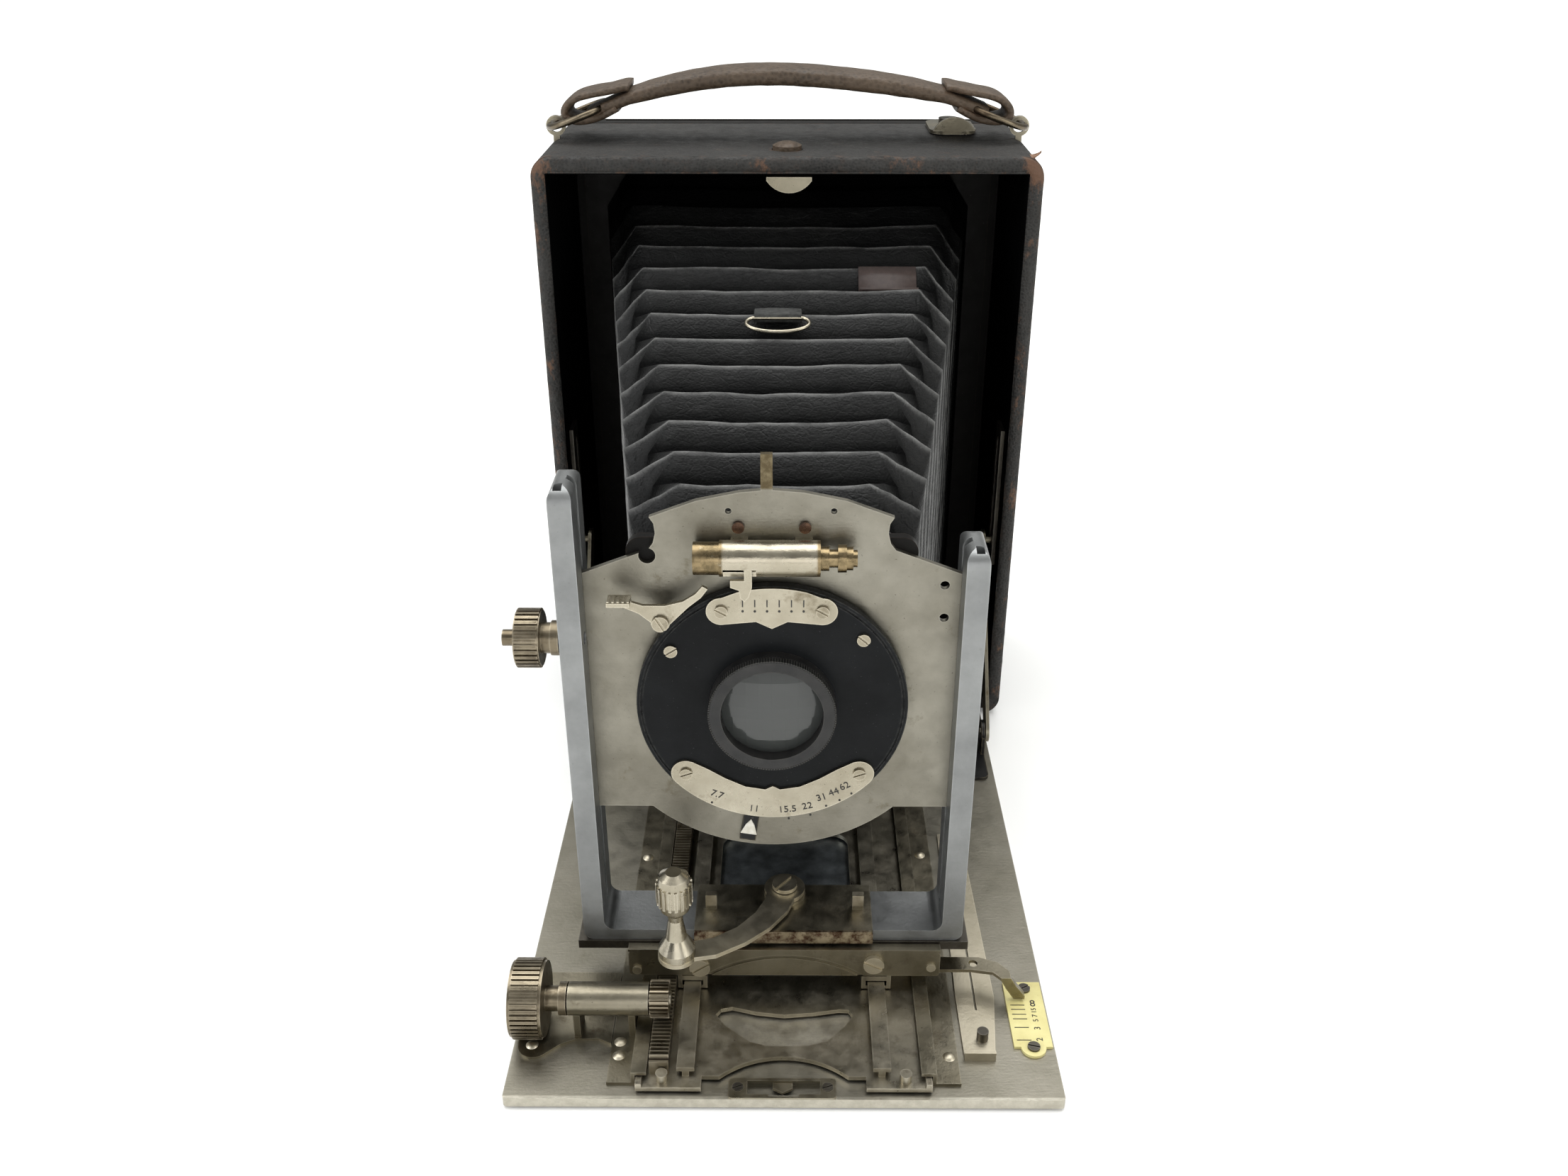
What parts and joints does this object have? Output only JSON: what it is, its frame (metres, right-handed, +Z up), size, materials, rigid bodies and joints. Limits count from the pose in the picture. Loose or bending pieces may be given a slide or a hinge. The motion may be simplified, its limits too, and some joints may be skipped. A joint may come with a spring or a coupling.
{
  "type": "folding camera",
  "caption": "Folding plate camera standing open: leather-covered body, drop bed with focusing track, sliding lens standard, bellows and carrying handle.",
  "frame": {"origin": "centre of the bottom of the bounding box, on the surface that the open camera stands on", "axes": "+Y from the lens to the back of the body, +X to the right seen from the front, +Z up"},
  "size_m": [0.124, 0.2014, 0.1754],
  "materials": {
    "black_metal": "worn black paint",
    "leather": "grained, worn",
    "aluminium": "brushed",
    "steel": "dull",
    "nickel": "worn nickel plate",
    "brass": "oxidised",
    "cast": "matt cast",
    "board": "satin",
    "disc": "satin blue-black",
    "ivory": "aged",
    "glass": "coated",
    "frosted": "ground",
    "wood_black": "black lacquer"
  },
  "bodies": {
    "body": {"body_shell": "black_metal", "leather_cover": "leather", "body_rails": "steel", "slot_plates": "steel", "hinge_pin": "steel", "back_frame": "wood_black", "ground_glass": "frosted", "eyelets": "nickel", "back_catch_screw": "steel", "tripod_bush": "brass", "bellows_rear_frame": "wood_black", "bellows": "leather", "bellows_ring": "nickel"},
    "bed_catch": {"release_button": "leather", "catch_hook": "steel"},
    "back_catch": {"catch_lever": "steel"},
    "handle": {"handle_strap": "leather", "handle_rings": "nickel"},
    "bed": {"bed_plate": "aluminium", "bed_leather": "leather", "guide_rails": "steel", "bed_rivets": "steel", "latch_plate": "steel", "bed_screws": "steel", "knob_bracket": "nickel", "pinion_sleeve": "brass", "distance_scale": "ivory", "leaf_spring": "nickel", "strut_brackets": "black_metal"},
    "left_strut": {"strut_left": "steel"},
    "right_strut": {"strut_right": "steel"},
    "pinion": {"focus_knob": "brass", "pinion_shaft": "steel", "pinion_gear": "brass"},
    "track": {"track_plate": "steel", "rack": "brass", "end_stops": "steel"},
    "carriage": {"carriage_base": "steel", "front_bar": "nickel", "bar_screws": "brass", "saddle_plate": "board", "pointer_arm": "nickel", "clamp_screw": "nickel"},
    "clamp": {"clamp_arm": "nickel", "clamp_knob": "brass"},
    "front_frame": {"u_frame": "cast", "base_strip": "cast"},
    "rise_clamp": {"rise_knob": "brass"},
    "lens_board": {"lens_plate": "board", "air_cylinder": "nickel", "shutter_disc": "disc", "disc_screws": "steel", "speed_plate": "nickel", "aperture_plate": "nickel", "lens_barrel": "black_metal", "lens_glass": "glass", "bellows_front_frame": "wood_black"},
    "piston": {"piston_tab": "nickel"},
    "release": {"release_lever": "nickel"},
    "aperture": {"aperture_pointer": "black_metal"}
  },
  "joints": [
    {"name": "bed_fold", "type": "hinge", "parent": "body", "child": "bed", "pos_m": [0, 0.0453, 0.0016], "axis": [-1, 0, 0], "range_deg": [0, 8]},
    {"name": "strut_left_fold", "type": "hinge", "parent": "bed", "child": "left_strut", "pos_m": [-0.055, 0.0217, 0.009], "axis": [-1, 0, 0], "range_deg": [-10, 0]},
    {"name": "strut_right_fold", "type": "hinge", "parent": "bed", "child": "right_strut", "pos_m": [0.055, 0.0217, 0.009], "axis": [-1, 0, 0], "range_deg": [-10, 0]},
    {"name": "track_focus", "type": "slide", "parent": "bed", "child": "track", "axis": [0, -1, 0], "range_m": [-0.0045, 0.0055]},
    {"name": "pinion_spin", "type": "hinge", "parent": "bed", "child": "pinion", "pos_m": [-0.04, -0.0827, 0.012], "axis": [1, 0, 0], "range_deg": [-91, 75]},
    {"name": "standard_slide", "type": "slide", "parent": "track", "child": "carriage", "axis": [0, -1, 0], "range_m": [-0.112, 0], "deforming": ["bellows", "bellows_ring"]},
    {"name": "cross_shift", "type": "slide", "parent": "carriage", "child": "front_frame", "axis": [1, 0, 0], "range_m": [-0.0016, 0.0064]},
    {"name": "clamp_swing", "type": "hinge", "parent": "carriage", "child": "clamp", "pos_m": [0, -0.0593, 0.0215], "axis": [0, 0, 1], "range_deg": [-10, 45]},
    {"name": "rise", "type": "slide", "parent": "front_frame", "child": "lens_board", "axis": [0, 0, 1], "range_m": [-0.008, 0.01]},
    {"name": "rise_clamp_turn", "type": "hinge", "parent": "front_frame", "child": "rise_clamp", "pos_m": [-0.0426, -0.0668, 0.0889], "axis": [1, 0, 0], "range_deg": [-90, 90]},
    {"name": "piston_push", "type": "slide", "parent": "lens_board", "child": "piston", "axis": [-1, 0, 0], "range_m": [0, 0.0034], "stiffness_N_per_m": 60, "springref_m": -0.002},
    {"name": "release_swing", "type": "hinge", "parent": "lens_board", "child": "release", "pos_m": [-0.0234, -0.0683, 0.0932], "axis": [0, -1, 0], "range_deg": [0, 14]},
    {"name": "aperture_set", "type": "hinge", "parent": "lens_board", "child": "aperture", "pos_m": [-0.0024, -0.0648, 0.0736], "axis": [0, -1, 0], "range_deg": [-19.6, 46.9]},
    {"name": "bed_release", "type": "slide", "parent": "body", "child": "bed_catch", "axis": [0, 0, -1], "range_m": [0, 0.0015], "stiffness_N_per_m": 300, "springref_m": -0.002},
    {"name": "back_catch_turn", "type": "hinge", "parent": "body", "child": "back_catch", "pos_m": [0.043, 0.0887, 0.1588], "axis": [0, 0, 1], "range_deg": [0, 60]},
    {"name": "handle_tilt", "type": "hinge", "parent": "body", "child": "handle", "pos_m": [0, 0.0707, 0.161], "axis": [1, 0, 0], "range_deg": [-20, 20]}
  ],
  "couplings": [
    {"joint": "strut_left_fold", "follows": "bed_fold", "ratio": -1.2077},
    {"joint": "strut_right_fold", "follows": "bed_fold", "ratio": -1.2077},
    {"joint": "pinion_spin", "follows": "track_focus", "rad_per_m": -285.71},
    {"joint": "release_swing", "follows": "piston_push", "rad_per_m": 70}
  ]
}
